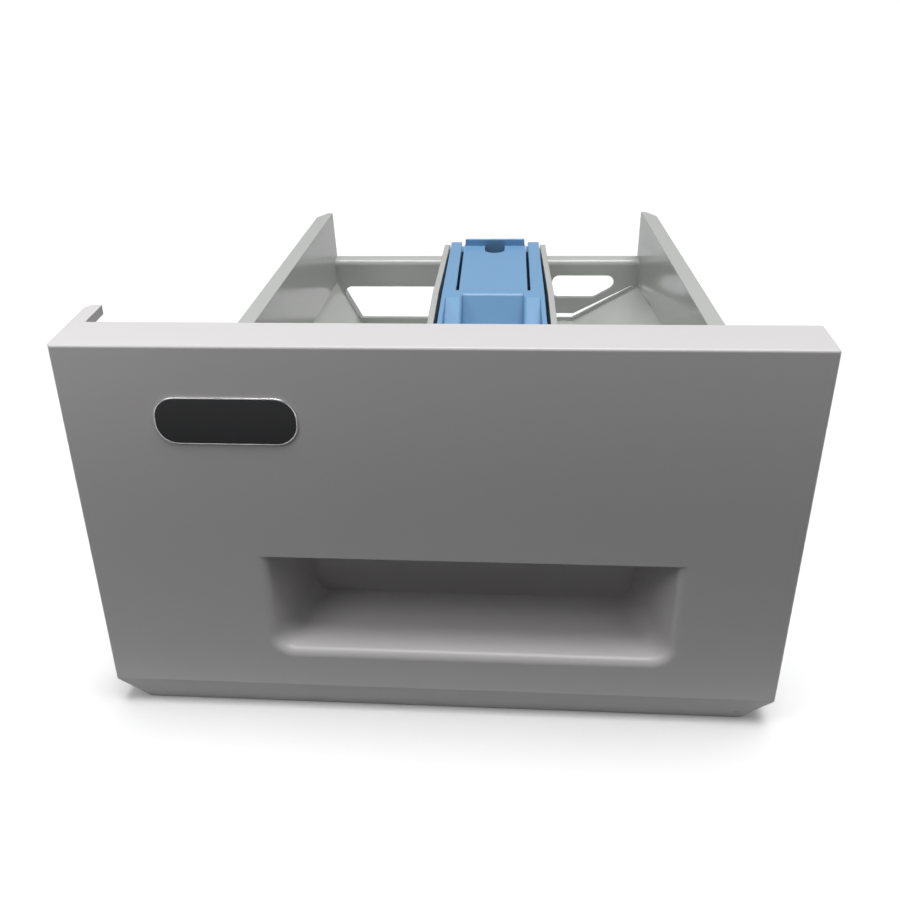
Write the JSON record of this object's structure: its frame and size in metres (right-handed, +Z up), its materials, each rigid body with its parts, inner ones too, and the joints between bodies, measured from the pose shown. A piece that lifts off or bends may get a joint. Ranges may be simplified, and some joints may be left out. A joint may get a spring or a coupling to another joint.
{
  "type": "detergent dispenser drawer",
  "caption": "Washing machine detergent drawer: hollow front panel with a finger recess, tapered open tray with side compartments and a capped softener chamber.",
  "frame": {"origin": "under the middle of the overall box, level with the front panel's lower edge", "axes": "+X to the right across the panel, +Y from the panel to the rear of the drawer, +Z up"},
  "size_m": [0.2, 0.1876, 0.1206],
  "materials": {
    "panel_plastic": "smooth light grey moulded plastic with a soft gloss",
    "badge_plastic": "plain dark gloss",
    "tray_plastic": "satin grey moulded plastic",
    "cap_plastic": "satin mid-blue moulded plastic",
    "screw_steel": "zinc plated"
  },
  "bodies": {
    "drawer": {"front_panel": "panel_plastic", "blank_badge": "badge_plastic", "drawer_tray": "tray_plastic", "softener_cap": "cap_plastic", "panel_screws": "screw_steel"},
    "tongue": {"release_tongue": "cap_plastic"}
  },
  "joints": [
    {"name": "tongue_press", "type": "hinge", "parent": "drawer", "child": "tongue", "pos_m": [0.0143, 0.03265, 0.0902], "axis": [-1, 0, 0], "range_deg": [0, 2.5], "stiffness_Nm_per_rad": 2}
  ]
}
